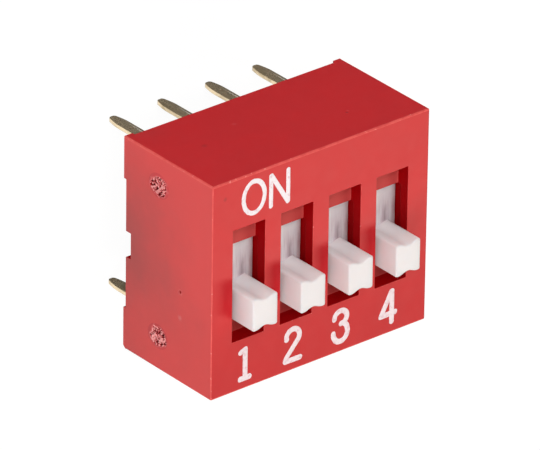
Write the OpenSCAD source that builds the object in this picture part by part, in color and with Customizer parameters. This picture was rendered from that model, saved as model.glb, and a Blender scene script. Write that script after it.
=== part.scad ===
// Four-position slide DIP switch for through-hole mounting.
// Millimetres. +Z points out of the actuator face, the pins point down -Z.
// X runs along the row from position 1 to position 4, Y from the number side to the ON side.
// Origin: centre of the seating plane, the plane on which the four feet of the cover stand.
// All sliders are drawn in the OFF position, at the number side; they travel towards +Y.

/* [Body] */
// Distance between neighbouring switch positions
pitch = 2.54; // [2.1:0.01:3.1]
// Distance between the two rows of pins
row_spacing = 7.62; // [6.3:0.01:9.2]
// Height of the actuator face above the seating plane
body_h = 5.8; // [4.8:0.1:8]
// Wall left between two neighbouring slider tracks
partition_t = 0.44; // [0.3:0.02:0.6]
// Wall at each end of the row, outside the last slider track
end_wall = 0.89; // [0.8:0.01:2]
// From the centre of a pin row to the outside of the long wall
row_edge = 1.14; // [0.9:0.02:2]
// Thickness of the long walls beside the base
side_wall = 0.75; // [0.5:0.05:0.75]
// Thickness of the end walls beside the base
end_skirt = 0.75; // [0.5:0.05:0.8]

/* [Feet and notches] */
// Height of the feet below the bottom edge of the cover
foot_h = 0.15; // [0.05:0.05:0.5]
// Length of each foot along the end wall
foot_l = 1.95; // [0.8:0.05:2.6]
// Thickness of each foot, measured in from the end wall
foot_t = 0.42; // [0.2:0.02:0.7]
// Chamfer on the outer lower corners of the number-side feet
foot_chamfer = 0.15; // [0.05:0.05:0.3]
// Width of the notch in the middle of each end wall's bottom edge
notch_w = 1.2; // [0.4:0.1:3]
// Height of that notch above the bottom edge
notch_h = 0.32; // [0.1:0.02:0.5]

/* [Slots] */
// How far the slot walls reach in over the slider track on each side
slot_lip = 0.2; // [0.1:0.01:0.25]
// Distance from the centre line to the ON end of a slot
slot_on_y = 2.6; // [2.2:0.05:3.1]
// Distance from the centre line to the number end of a slot
slot_off_y = 2.6; // [2.2:0.05:3.1]
// Length of the ledge at the ON end
ledge_on_l = 1.04; // [0.4:0.02:1.3]
// Length of the ledge at the number end
ledge_off_l = 0.88; // [0.4:0.02:1.1]
// Depth of the ON ledge below the actuator face
ledge_on_depth = 0.66; // [0.4:0.02:0.8]
// Depth of the number-side ledge below the actuator face
ledge_off_depth = 0.8; // [0.4:0.02:0.85]
// Thickness of the slot walls where the track widens below them
slot_wall_t = 0.5; // [0.3:0.05:0.8]
// Depth of the slider track's ceiling below the actuator face
track_depth = 0.97; // [0.9:0.01:1.1]

/* [Sliders] */
// Running clearance round a slider
slide_gap = 0.03; // [0.02:0.01:0.05]
// Clearance left between a knob and the ledge that stops it
stop_gap = 0.03; // [0.02:0.01:0.1]
// Clearance between a slider's plate and the ends of its track
track_end_gap = 0.08; // [0.05:0.01:0.2]
// Thickness of the slider's plate
plate_t = 0.8; // [0.4:0.05:0.95]
// How far the plate reaches past the window at both ends of its travel
plate_lap = 0.14; // [0.05:0.01:0.3]
// Gap between the knob and the slot wall on each side
knob_gap = 0.2; // [0.05:0.01:0.25]
// Length of the knob along its travel
knob_l = 1.48; // [1:0.02:1.9]
// Height of the knob above the actuator face
knob_rise = 1.12; // [0.3:0.02:2]
// Radius of the tool scoop in each end of the knob
scoop_r = 0.6; // [0.45:0.01:0.65]
// Depth of that scoop
scoop_depth = 0.15; // [0.05:0.01:0.16]

/* [Contacts] */
// Thickness of the sprung contact strip
strip_t = 0.1; // [0.06:0.01:0.12]
// Height of the strip's underside above the base
strip_h = 0.65; // [0.55:0.01:0.75]
// Half the length of the strip's flat middle
strip_flat = 0.55; // [0.45:0.01:0.65]
// Distance from the middle of the strip to each contact point
contact_reach = 1.2; // [1.1:0.01:1.4]
// Bend radius of the strip, to its centre line
strip_bend_r = 0.2; // [0.15:0.01:0.24]
// Angle by which the tip of the strip curls up past the contact point
curl_angle = 48; // [20:1:70]
// Clearance between a contact point and the pads that it wipes
contact_gap = 0.03; // [0.02:0.01:0.05]
// Width of the slit that splits each arm into two fingers
fork_slit = 0.18; // [0.1:0.01:0.22]
// Side clearance of the slider's boss and of the strip under it
boss_gap = 0.15; // [0.1:0.01:0.2]
// Setback of the strip's edge from the side of the boss
strip_inset = 0.1; // [0.05:0.01:0.12]
// Length of the boss that carries the strip
boss_l = 1.06; // [0.9:0.02:1.2]
// Diameter of the stake that holds the strip
stake_d = 0.4; // [0.3:0.02:0.42]
// Diameter of the stake's formed head
stake_head_d = 0.62; // [0.5:0.02:0.62]
// Thickness of that head
stake_head_t = 0.13; // [0.08:0.01:0.2]
// Clearance round the stake in the strip's hole
stake_gap = 0.02; // [0.01:0.01:0.04]

/* [Terminals] */
// Thickness of the terminal sheet
sheet_t = 0.2; // [0.15:0.01:0.25]
// Width of a pin
pin_w = 0.56; // [0.4:0.01:0.6]
// Width of a pin at its tip, before the corner chamfers
pin_tip_w = 0.34; // [0.3:0.01:0.4]
// Length of a pin below the seating plane
pin_l = 3.3; // [2:0.1:5]
// Length of the stretch over which a pin narrows to its tip
pin_taper_l = 0.8; // [0.5:0.1:1.9]
// How late that stretch narrows: 1 is a straight taper, more is a rounder one
pin_swell = 1.6; // [1:0.1:2.5]
// Chamfer on the corners of a pin's tip
pin_chamfer = 0.08; // [0.03:0.01:0.13]
// Inside bend radius of the terminal
sheet_bend_r = 0.15; // [0.1:0.01:0.2]
// Gap between the two pads of a position
pad_gap = 0.65; // [0.4:0.05:0.8]
// From the centre of the pin row to the wide part of the pad
pad_setback = 0.5; // [0.4:0.05:0.8]
// Clearance between a pad and the rails beside it
pad_rail_gap = 0.05; // [0.03:0.01:0.1]

/* [Base and seal] */
// Clearance between the base and the cover
fit_gap = 0.03; // [0.02:0.01:0.05]
// Thickness of the base's floor
base_t = 1.6; // [1:0.05:2.4]
// Thickness of the two rails that carry a slider
rail_t = 0.25; // [0.15:0.01:0.28]
// Thickness of the cast seal under the base
seal_t = 0.3; // [0.1:0.05:0.45]
// Depth of the seal's face above the bottom edge of the cover
seal_recess = 0.15; // [0.05:0.05:0.2]

/* [Hidden] */

positions = 4;
$fn = 64;
past = 0.5;      // how far a cutting block runs past the face that it opens
arc_steps = 8;   // straight steps in each bend of a strip
taper_steps = 6; // straight steps down each side of a pin's narrowing end

// heights, from the seating plane up
edge_z = foot_h;
seal_z = edge_z + seal_recess;
base_z = seal_z + seal_t;
floor_z = base_z + base_t;
track_z = body_h - track_depth;
slot_z = body_h - slot_wall_t;
plate_z1 = track_z - slide_gap;
plate_z0 = plate_z1 - plate_t;
rail_z = plate_z0 - slide_gap;
strip_z0 = floor_z + strip_h;
strip_z1 = strip_z0 + strip_t;
stake_z = strip_z0 - stake_head_t;

// widths, along the row
track_w = pitch - partition_t;
slot_w = track_w - 2 * slot_lip;
plate_w = track_w - 2 * slide_gap;
knob_w = slot_w - 2 * knob_gap;
body_l = (positions - 1) * pitch + track_w + 2 * end_wall;
cavity_l = body_l - 2 * end_skirt;
base_l = cavity_l - 2 * fit_gap;
rail_x1 = track_w / 2 - fit_gap;
rail_x0 = rail_x1 - rail_t;
boss_w = 2 * (rail_x0 - boss_gap);
strip_w = boss_w - 2 * strip_inset;
pad_w = 2 * (rail_x0 - pad_rail_gap);

// lengths, across the row
row_y = row_spacing / 2;
body_w = row_spacing + 2 * row_edge;
cavity_w = body_w - 2 * side_wall;
base_w = cavity_w - 2 * fit_gap;
window_y0 = -slot_off_y + ledge_off_l;
window_y1 = slot_on_y - ledge_on_l;
window_l = window_y1 - window_y0;
knob_y = window_y0 + stop_gap + knob_l / 2;
travel = window_l - knob_l - 2 * stop_gap;
plate_l = 2 * (window_l - stop_gap - knob_l / 2 + plate_lap);
track_y0 = knob_y - plate_l / 2 - track_end_gap;
track_y1 = knob_y + travel + plate_l / 2 + track_end_gap;
rail_y0 = track_y0 + fit_gap;
rail_y1 = track_y1 - fit_gap;
pad_mid_y = knob_y + contact_reach;
sheet_r = sheet_bend_r + sheet_t;

red = [0.80, 0.15, 0.16];
deep_red = [0.66, 0.10, 0.11];
white = [0.95, 0.94, 0.92];
gold = [0.83, 0.66, 0.34];
amber = [0.36, 0.20, 0.10];

function pos_x(i) = (i - (positions + 1) / 2) * pitch;
// points of a circle's arc, from angle a0 to angle a1
function arc(c, r, a0, a1) = [for (k = [0:arc_steps])
    let (a = a0 + (a1 - a0) * k / arc_steps) [c[0] + r * cos(a), c[1] + r * sin(a)]];
function reversed(pts) = [for (k = [len(pts) - 1:-1:0]) pts[k]];
// the same points on the other side of the vertical axis, in the order that carries an outline on
function mirrored(pts) = [for (p = reversed(pts)) [-p[0], p[1]]];

// a block given by its lowest and highest corners
module block(lo, hi) {
    translate(lo) cube([hi[0] - lo[0], hi[1] - lo[1], hi[2] - lo[2]]);
}

// an outline in the YZ plane, extruded to a width centred on x
module across(x, w) {
    translate([x - w / 2, 0, 0]) rotate([90, 0, 90]) linear_extrude(w) children();
}

// ---------------------------------------------------------------- cover

module feet() {
    for (mx = [0, 1], my = [0, 1])
        mirror([mx, 0, 0]) mirror([0, my, 0])
            block([body_l / 2 - foot_t, body_w / 2 - foot_l, 0], [body_l / 2, body_w / 2, edge_z]);
}

// the wedge that chamfers the lower corner of the number-side feet
module foot_corner() {
    across(0, body_l + 2 * past)
        polygon([[-body_w / 2 - past, -past], [-body_w / 2 + foot_chamfer + past, -past],
                 [-body_w / 2 - past, foot_chamfer + past]]);
}

// the slot, its two ledges, the window between them and the track below, for one position
module slot_and_track(x) {
    slot_x = [x - slot_w / 2, x + slot_w / 2];
    track_x = [x - track_w / 2, x + track_w / 2];
    block([slot_x[0], window_y1 - past, body_h - ledge_on_depth], [slot_x[1], slot_on_y, body_h + past]);
    block([slot_x[0], -slot_off_y, body_h - ledge_off_depth], [slot_x[1], window_y0 + past, body_h + past]);
    block([slot_x[0], window_y0, track_z - past], [slot_x[1], window_y1, body_h + past]);
    block([track_x[0], window_y0, track_z - past], [track_x[1], window_y1, slot_z]);
    block([track_x[0], track_y0, floor_z - past], [track_x[1], track_y1, track_z]);
}

module cover() {
    color(red) difference() {
        union() {
            block([-body_l / 2, -body_w / 2, edge_z], [body_l / 2, body_w / 2, body_h]);
            feet();
        }
        block([-cavity_l / 2, -cavity_w / 2, -past], [cavity_l / 2, cavity_w / 2, floor_z]);
        for (i = [1:positions]) slot_and_track(pos_x(i));
        block([-body_l / 2 - past, -notch_w / 2, -past],
              [body_l / 2 + past, notch_w / 2, edge_z + notch_h]);
        foot_corner();
    }
}

// ---------------------------------------------------------------- base and seal

// the places of all the terminals, which fit both pieces without play
module terminal_holes() {
    for (i = [1:positions], side = [1, -1]) terminal_shape(pos_x(i), side);
}

module base() {
    color(deep_red) difference() {
        union() {
            block([-base_l / 2, -base_w / 2, base_z], [base_l / 2, base_w / 2, floor_z]);
            for (i = [1:positions], m = [0, 1])
                translate([pos_x(i), 0, 0]) mirror([m, 0, 0])
                    block([rail_x0, rail_y0, base_z], [rail_x1, rail_y1, rail_z]);
        }
        terminal_holes();
    }
}

module seal() {
    color(amber) difference() {
        block([-cavity_l / 2, -cavity_w / 2, seal_z], [cavity_l / 2, cavity_w / 2, base_z]);
        terminal_holes();
    }
}

// ---------------------------------------------------------------- sliders and contacts

// plan of the knob: a rectangle with a scoop in each end for the tip of a tool
module knob_plan() {
    difference() {
        square([knob_w, knob_l], center = true);
        for (s = [-1, 1]) translate([0, s * (knob_l / 2 + scoop_r - scoop_depth)]) circle(scoop_r);
    }
}

module slider(i) {
    color(white) translate([pos_x(i), knob_y, 0]) {
        block([-plate_w / 2, -plate_l / 2, plate_z0], [plate_w / 2, plate_l / 2, plate_z1]);
        translate([0, 0, plate_z0]) linear_extrude(body_h + knob_rise - plate_z0) knob_plan();
        block([-boss_w / 2, -boss_l / 2, strip_z1], [boss_w / 2, boss_l / 2, plate_z1]);
        translate([0, 0, stake_z]) cylinder(d = stake_d, h = plate_z0 - stake_z);
        translate([0, 0, stake_z]) cylinder(d = stake_head_d, h = stake_head_t);
    }
}

// Half of the strip's centre line bends down by strip_slope, runs straight to the curl and turns up again.
// The slope is the one at which the straight stretch is tangent to both bends.
bend_c = [strip_flat, strip_z0 + strip_t / 2 - strip_bend_r];
curl_c = [contact_reach, floor_z + contact_gap + strip_t / 2 + strip_bend_r];
slope_run = curl_c - bend_c;
strip_slope = asin(2 * strip_bend_r / norm(slope_run)) + atan2(-slope_run[1], slope_run[0]);

// one face of the strip's outer half, at a distance d above its centre line
function strip_face(d) = concat(
    arc(bend_c, strip_bend_r + d, 90, 90 - strip_slope),
    arc(curl_c, strip_bend_r - d, -90 - strip_slope, -90 + curl_angle));

module strip_outline() {
    upper = strip_face(strip_t / 2);
    lower = strip_face(-strip_t / 2);
    polygon(concat(mirrored(upper), upper, reversed(lower), mirrored(reversed(lower))));
}

// the slit that splits one arm of the strip into two fingers
module slit() {
    block([-fork_slit / 2, strip_flat, floor_z], [fork_slit / 2, 2 * contact_reach, strip_z1 + past]);
}

module contact(i) {
    color(gold) translate([pos_x(i), knob_y, 0]) difference() {
        across(0, strip_w) strip_outline();
        translate([0, 0, strip_z0 - past]) cylinder(d = stake_d + 2 * stake_gap, h = strip_t + 2 * past);
        for (m = [0, 1]) mirror([0, m, 0]) slit();
    }
}

// ---------------------------------------------------------------- terminals

// the bent sheet seen along the row, with its pad ending at pad_end
module terminal_bend(pad_end) {
    outer = row_y + sheet_t / 2;
    inner = row_y - sheet_t / 2;
    polygon(concat(
        [[pad_end, floor_z - sheet_t], [pad_end, floor_z]],
        arc([outer - sheet_r, floor_z - sheet_r], sheet_r, 90, 0),
        [[outer, base_z], [inner, base_z]],
        arc([outer - sheet_r, floor_z - sheet_r], sheet_bend_r, 0, 90)));
}

// the straight pin seen from the ON side, from the bend down to its tip
module pin_outline() {
    taper = [for (k = [0:taper_steps]) let (s = k / taper_steps)
        [(pin_w - (pin_w - pin_tip_w) * pow(s, pin_swell)) / 2,
         pin_taper_l - pin_l - (pin_taper_l - pin_chamfer) * s]];
    right = concat([[pin_w / 2, base_z]], taper, [[pin_tip_w / 2 - pin_chamfer, -pin_l]]);
    polygon(concat(right, mirrored(right)));
}

// side is 1 for the ON row and -1 for the number row
module terminal_shape(x, side) {
    pad_end = side * pad_mid_y + pad_gap / 2;
    translate([x, 0, 0]) mirror([0, side < 0 ? 1 : 0, 0]) {
        across(0, pin_w) terminal_bend(pad_end);
        block([-pad_w / 2, pad_end, floor_z - sheet_t], [pad_w / 2, row_y - pad_setback, floor_z]);
        translate([0, row_y + sheet_t / 2, 0]) rotate([90, 0, 0]) linear_extrude(sheet_t) pin_outline();
    }
}

module terminal_on(i) { color(gold) terminal_shape(pos_x(i), 1); }
module terminal_number(i) { color(gold) terminal_shape(pos_x(i), -1); }

// ---------------------------------------------------------------- assembly

cover();
base();
seal();
for (i = [1:positions]) {
    slider(i);
    contact(i);
    terminal_on(i);
    terminal_number(i);
}
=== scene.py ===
"""Looks of a four-position slide DIP switch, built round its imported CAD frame.

Everything stands in the part's own frame: +Z out of the actuator face, +X along the row from position 1
to position 4, +Y from the number side to the ON side, and the origin on the seating plane. Sizes of the
object are fields in millimetres and become metres where a mesh is made. Patterns are given in cycles for
each millimetre.
"""

import logging
import math
from collections.abc import Callable
from dataclasses import dataclass, replace
from enum import Enum
from typing import Any

import bmesh
import bpy
from mathutils import Matrix, Vector


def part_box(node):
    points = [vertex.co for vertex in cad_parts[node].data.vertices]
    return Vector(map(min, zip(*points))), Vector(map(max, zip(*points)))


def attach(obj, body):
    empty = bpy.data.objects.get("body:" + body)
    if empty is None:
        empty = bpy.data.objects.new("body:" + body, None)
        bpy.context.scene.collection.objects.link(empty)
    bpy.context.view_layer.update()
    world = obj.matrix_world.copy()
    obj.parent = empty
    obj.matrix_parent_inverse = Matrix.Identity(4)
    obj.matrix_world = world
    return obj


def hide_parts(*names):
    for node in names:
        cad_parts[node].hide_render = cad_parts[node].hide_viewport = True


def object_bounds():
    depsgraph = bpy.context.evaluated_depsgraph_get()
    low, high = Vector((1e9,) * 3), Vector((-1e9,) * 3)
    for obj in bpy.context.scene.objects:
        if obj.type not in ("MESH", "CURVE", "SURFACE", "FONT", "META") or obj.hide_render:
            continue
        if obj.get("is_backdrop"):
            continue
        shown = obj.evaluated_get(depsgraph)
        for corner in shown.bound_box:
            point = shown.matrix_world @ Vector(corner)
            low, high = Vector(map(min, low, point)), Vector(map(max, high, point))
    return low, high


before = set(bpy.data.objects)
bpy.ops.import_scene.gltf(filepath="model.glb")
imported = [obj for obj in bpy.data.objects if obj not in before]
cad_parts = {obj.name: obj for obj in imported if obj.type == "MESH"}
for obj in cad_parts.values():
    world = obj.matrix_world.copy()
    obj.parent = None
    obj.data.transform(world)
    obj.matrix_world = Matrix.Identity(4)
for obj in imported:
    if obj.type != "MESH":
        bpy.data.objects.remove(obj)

log = logging.getLogger("dip_switch")

MM = 0.001
POSITIONS = (1, 2, 3, 4)
HOUSING = "housing"

PITCH = 2.54             # millimetres from one position to the next
SENSOR = 36.0            # the sensor's width in millimetres, which goes with the camera's focal length
EVEN = (1.0, 1.0, 1.0)   # a pattern that is not stretched
BLACK = (0.0, 0.0, 0.0)
PURE_WHITE = (1.0, 1.0, 1.0)

Colour = tuple[float, float, float]
Point2 = tuple[float, float]
Point3 = tuple[float, float, float]
Socket = bpy.types.NodeSocket
Term = float | Socket              # a number, or the socket that a number comes from
Tint = Colour | Socket             # a colour, or the socket that a colour comes from
Layer = tuple[Socket, float]       # a height's socket, and the real height of its full range in millimetres


class Row(Enum):
    """The two rows of terminals, by the names that their nodes carry."""

    ON = "on"
    NUMBER = "number"


class Join(Enum):
    """What a second shape does to the first, by the words that a Boolean modifier takes."""

    CUT = "DIFFERENCE"
    FUSE = "UNION"


# ---------------------------------------------------------------- node trees


class Graph:
    """Adds nodes to one node tree, sets their inputs and links them."""

    def __init__(self, tree: bpy.types.NodeTree) -> None:
        """Takes hold of a tree.

        Args:
            tree: the shader or geometry tree to fill.
        """
        self.tree = tree

    def add(self, kind: str, inputs: dict[str | int, Any] | None = None,
            **settings: Any) -> bpy.types.Node:
        """Adds a node.

        Args:
            kind: the node's type name.
            inputs: input names or numbers, each with a value or with the socket that feeds it.
            **settings: the node's own properties.

        Returns:
            The new node.
        """
        node = self.tree.nodes.new(kind)
        for name, value in settings.items():
            setattr(node, name, value)
        for key, value in (inputs or {}).items():
            self.feed(node.inputs[key], value)
        return node

    def feed(self, socket: Socket, value: Any) -> None:
        """Gives an input its value.

        Args:
            socket: the input.
            value: a plain value, or an output socket to link from.
        """
        if isinstance(value, Socket):
            self.tree.links.new(value, socket)
        elif socket.type == "RGBA" and len(value) == 3:
            socket.default_value = (*value, 1.0)
        else:
            socket.default_value = value

    def math(self, operation: str, *terms: Term) -> Socket:
        """Does one sum.

        Args:
            operation: the Math node's operation.
            *terms: its numbers or sockets, in order.

        Returns:
            The result's socket.
        """
        return self.add("ShaderNodeMath", dict(enumerate(terms)), operation=operation).outputs[0]

    def times(self, *terms: Term) -> Socket:
        """Multiplies two numbers or sockets."""
        return self.math("MULTIPLY", *terms)

    def plus(self, *terms: Term) -> Socket:
        """Adds two numbers or sockets."""
        return self.math("ADD", *terms)

    def minus(self, *terms: Term) -> Socket:
        """Takes the second number or socket from the first."""
        return self.math("SUBTRACT", *terms)

    def split(self, vector: Socket) -> list[Socket]:
        """The X, Y and Z of a vector's socket."""
        return list(self.add("ShaderNodeSeparateXYZ", {0: vector}).outputs)

    def vector(self, **axes: Term) -> Socket:
        """A vector from its X, Y and Z; an axis that is left out is 0."""
        return self.add("ShaderNodeCombineXYZ", axes).outputs[0]

    def ramp(self, value: Socket, low: float, high: float, start: float = 0.0,
             end: float = 1.0) -> Socket:
        """Maps a value smoothly from one range to another.

        Args:
            value: the socket to map.
            low: the value that gives start.
            high: the value that gives end.
            start: the result at low and below.
            end: the result at high and above.

        Returns:
            The mapped value's socket.
        """
        inputs = {"Value": value, "From Min": low, "From Max": high, "To Min": start, "To Max": end}
        return self.add("ShaderNodeMapRange", inputs, interpolation_type="SMOOTHSTEP").outputs["Result"]

    def noise(self, at: Socket, scale: float, detail: float = 2.0, rough: float = 0.5,
              swirl: float = 0.0, *, seed: Term) -> Socket:
        """Adds smooth noise.

        Args:
            at: the coordinates' socket.
            scale: cycles for each unit of the coordinates.
            detail: how many finer layers it has.
            rough: how strong the finer layers are.
            swirl: how far it is distorted.
            seed: the fourth coordinate, which picks the pattern.

        Returns:
            The noise's value, about 0.5 on average.
        """
        inputs = {"Vector": at, "W": seed, "Scale": scale, "Detail": detail, "Roughness": rough,
                  "Distortion": swirl}
        return self.add("ShaderNodeTexNoise", inputs, noise_dimensions="4D").outputs[0]


class Surface(Graph):
    """One material: a Principled shader and the nodes that feed it."""

    def __init__(self, name: str, **constants: Any) -> None:
        """Makes an empty material.

        Args:
            name: the material's name.
            **constants: values that are the same all over, set on the shader's own sockets, with the
                spaces in a socket's name as underscores.
        """
        self.material = bpy.data.materials.new(name)
        self.material.use_nodes = True
        super().__init__(self.material.node_tree)
        self.shader = self.tree.nodes["Principled BSDF"]
        for key, value in constants.items():
            self.feed(self.shader.inputs[key.replace("_", " ")], value)

    def attribute(self, name: str, output: str = "Fac") -> Socket:
        """The socket of an attribute that is stored on the mesh: Fac for a number, Vector for a vector."""
        return self.add("ShaderNodeAttribute", attribute_name=name).outputs[output]

    def millimetres(self, stretch: Point3 = EVEN) -> Socket:
        """The object's own coordinates in millimetres.

        Args:
            stretch: how much finer than usual a pattern is along each axis.

        Returns:
            The coordinates' socket.
        """
        where = self.add("ShaderNodeTexCoord").outputs["Object"]
        scale = tuple(s / MM for s in stretch)
        return self.add("ShaderNodeMapping", {"Vector": where, "Scale": scale}).outputs[0]

    def blend(self, factor: Socket, first: Tint, second: Tint) -> Socket:
        """Mixes two colours.

        Args:
            factor: 0 for the first, 1 for the second.
            first: a colour or its socket.
            second: a colour or its socket.

        Returns:
            The mixed colour's socket.
        """
        mix = self.add("ShaderNodeMix", data_type="RGBA")
        for key, value in ((0, factor), (6, first), (7, second)):
            self.feed(mix.inputs[key], value)
        return mix.outputs[2]

    def spot(self, at: Socket, centre: Point3, radius: float) -> Socket:
        """A soft blotch with a ragged outline.

        Args:
            at: the coordinates' socket.
            centre: the middle of the blotch, in the same coordinates.
            radius: where it has faded out, on average.

        Returns:
            A value of 1 at the middle and 0 outside.
        """
        far = self.add("ShaderNodeVectorMath", {0: at, 1: centre}, operation="DISTANCE").outputs["Value"]
        ragged = 0.9 * radius
        patches = self.noise(at, 2.0 / radius, detail=4.0, rough=0.6, seed=13.0)
        strayed = self.plus(far, self.times(patches, ragged))
        return self.ramp(strayed, ragged / 2, ragged / 2 + radius, 1.0, 0.0)

    def relief(self, *layers: Layer) -> None:
        """Puts bumps on the surface.

        Args:
            *layers: the bumps' heights, one on top of the other.
        """
        normal = None
        for height, full in layers:
            inputs = {"Height": height, "Distance": full * MM, "Strength": 1.0}
            if normal is not None:
                inputs["Normal"] = normal
            normal = self.add("ShaderNodeBump", inputs).outputs[0]
        self.feed(self.shader.inputs["Normal"], normal)


class Recipe(Graph):
    """A Geometry Nodes tree with named inputs, which turns a carrier mesh into a finished plain mesh."""

    SOCKETS = {float: "NodeSocketFloat", int: "NodeSocketInt", bpy.types.Material: "NodeSocketMaterial"}

    def __init__(self, name: str, **inputs: float | int | bpy.types.Material) -> None:
        """Makes a tree that has the carrier's geometry and these named sizes as its inputs.

        Args:
            name: the tree's name.
            **inputs: each input's name and value. Its type gives the socket's.
        """
        super().__init__(bpy.data.node_groups.new(name, "GeometryNodeTree"))
        self.values = inputs
        face = self.tree.interface
        face.new_socket("Geometry", in_out="INPUT", socket_type="NodeSocketGeometry")
        for key, value in inputs.items():
            kind = next(s for t, s in self.SOCKETS.items() if isinstance(value, t))
            face.new_socket(key, in_out="INPUT", socket_type=kind)
        face.new_socket("Geometry", in_out="OUTPUT", socket_type="NodeSocketGeometry")
        self.entry = self.add("NodeGroupInput").outputs

    def position(self) -> Socket:
        """Each point's place in metres."""
        return self.add("GeometryNodeInputPosition").outputs[0]

    def position_mm(self) -> Socket:
        """Each point's place in millimetres."""
        scaled = {0: self.position(), "Scale": 1 / MM}
        return self.add("ShaderNodeVectorMath", scaled, operation="SCALE").outputs[0]

    def moved(self, geometry: Socket, **place: Socket) -> Socket:
        """Geometry whose points get a new Position, or an Offset from the old one."""
        return self.add("GeometryNodeSetPosition", {"Geometry": geometry, **place}).outputs[0]

    def between(self, share: Socket, first: Socket, second: Socket) -> Socket:
        """A number between two others, from a share of 0 for the first to 1 for the second."""
        return self.add("ShaderNodeMix", {0: share, 2: first, 3: second}, data_type="FLOAT").outputs[0]

    def stored(self, geometry: Socket, name: str, value: Socket) -> Socket:
        """Stores a number on the geometry's points.

        Args:
            geometry: the geometry's socket.
            name: the name that the number goes under.
            value: the number's socket.

        Returns:
            The geometry's new socket.
        """
        inputs = {"Geometry": geometry, "Name": name, "Value": value}
        keep = self.add("GeometryNodeStoreNamedAttribute", inputs, data_type="FLOAT", domain="POINT")
        return keep.outputs[0]

    def grid(self, width: str, length: str) -> Socket:
        """Makes a flat sheet of small faces, as many each way as the input Steps has points.

        Args:
            width: the name of the input that holds its size along X.
            length: the name of the input that holds its size along Y.

        Returns:
            The sheet's socket.
        """
        sizes = {"Size X": self.entry[width], "Size Y": self.entry[length],
                 "Vertices X": self.entry["Steps"], "Vertices Y": self.entry["Steps"]}
        return self.add("GeometryNodeMeshGrid", sizes).outputs["Mesh"]

    def finish(self, geometry: Socket) -> None:
        """Ends the tree with smooth shading, real geometry and the material.

        Args:
            geometry: the socket that carries the finished shape.
        """
        smooth = self.add("GeometryNodeSetShadeSmooth", {"Geometry": geometry}).outputs[0]
        real = self.add("GeometryNodeRealizeInstances", {"Geometry": smooth}).outputs[0]
        coat = {"Geometry": real, "Material": self.entry["Material"]}
        dressed = self.add("GeometryNodeSetMaterial", coat).outputs[0]
        self.feed(self.add("NodeGroupOutput").inputs[0], dressed)

    def make(self, name: str, carrier: bpy.types.Mesh) -> bpy.types.Object:
        """Runs the tree on a carrier mesh.

        Args:
            name: the finished object's name.
            carrier: the mesh that the tree starts from.

        Returns:
            A plain mesh object with no modifier.
        """
        holder = placed(name + "_carrier", carrier)
        modifier = holder.modifiers.new("recipe", "NODES")
        modifier.node_group = self.tree
        for item in self.tree.interface.items_tree:
            if item.in_out == "INPUT" and item.name in self.values:
                modifier[item.identifier] = self.values[item.name]
        mesh = applied(holder)
        mesh.name = name
        bpy.data.objects.remove(holder)
        return placed(name, mesh)


# ---------------------------------------------------------------- meshes

SAME_POINT = 1e-4          # millimetres within which two corners are one
FLAT = math.radians(1)     # the most that two triangles of one flat face turn
CORNER = math.radians(30)  # the least turn that counts as a real edge
CREASE = math.radians(35)  # the least turn that stays sharp to the eye


def placed(name: str, data: bpy.types.ID) -> bpy.types.Object:
    """Puts a mesh, a lamp or a camera into the scene at the origin.

    Args:
        name: the object's name.
        data: what it holds; a mesh is in metres in the part's frame.

    Returns:
        The new object.
    """
    thing = bpy.data.objects.new(name, data)
    bpy.context.scene.collection.objects.link(thing)
    return thing


def applied(thing: bpy.types.Object) -> bpy.types.Mesh:
    """An object's mesh with its modifiers applied, as plain data of its own."""
    depsgraph = bpy.context.evaluated_depsgraph_get()
    return bpy.data.meshes.new_from_object(thing.evaluated_get(depsgraph), depsgraph=depsgraph)


def settle(thing: bpy.types.Object, change: bpy.types.Modifier) -> None:
    """Makes a modifier's result the object's plain mesh, and takes the modifier off.

    Args:
        thing: the object.
        change: its only modifier.
    """
    baked = applied(thing)
    thing.modifiers.remove(change)
    thing.data = baked


def whole_copy(node: str) -> bmesh.types.BMesh:
    """A merged copy of a CAD node's mesh, with each flat face whole.

    Args:
        node: the CAD node.

    Returns:
        The copy, ready to be worked on.
    """
    work = bmesh.new()
    work.from_mesh(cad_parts[node].data)
    bmesh.ops.remove_doubles(work, verts=work.verts, dist=SAME_POINT * MM)
    bmesh.ops.dissolve_limit(work, angle_limit=FLAT, verts=work.verts, edges=work.edges, delimit=set())
    return work


def rounded(name: str, work: bmesh.types.BMesh, radius: float, segments: int,
            by_weight: bool) -> bpy.types.Object:
    """Rounds a shape's edges with a bevel and bakes it into a plain mesh.

    Args:
        name: the finished object's name.
        work: the shape. It is freed.
        radius: the bevel's width in millimetres.
        segments: how many steps round each edge.
        by_weight: True to round each edge by its own bevel weight, False to round every real corner.

    Returns:
        A plain mesh object.
    """
    mesh = bpy.data.meshes.new(name + "_sharp")
    work.to_mesh(mesh)
    work.free()
    for polygon in mesh.polygons:
        polygon.use_smooth = True
    holder = placed(name + "_sharp", mesh)
    bevel = holder.modifiers.new("edges", "BEVEL")
    bevel.width = radius * MM
    bevel.segments = segments
    bevel.limit_method = "WEIGHT" if by_weight else "ANGLE"
    bevel.angle_limit = CORNER
    bevel.harden_normals = True
    baked = applied(holder)
    baked.name = name
    bpy.data.objects.remove(holder)
    return placed(name, baked)


def combine(thing: bpy.types.Object, other: bmesh.types.BMesh, join: Join) -> None:
    """Cuts a second shape out of an object's mesh, or fuses it on.

    Args:
        thing: the object, whose mesh is replaced.
        other: the second shape. It is freed.
        join: whether it is cut out or fused on.
    """
    mesh = bpy.data.meshes.new(thing.name + "_tool")
    other.to_mesh(mesh)
    other.free()
    tool = placed(thing.name + "_tool", mesh)
    change = thing.modifiers.new("combine", "BOOLEAN")
    change.operation = join.value
    change.solver = "EXACT"
    change.object = tool
    settle(thing, change)
    bpy.data.objects.remove(tool)


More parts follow.
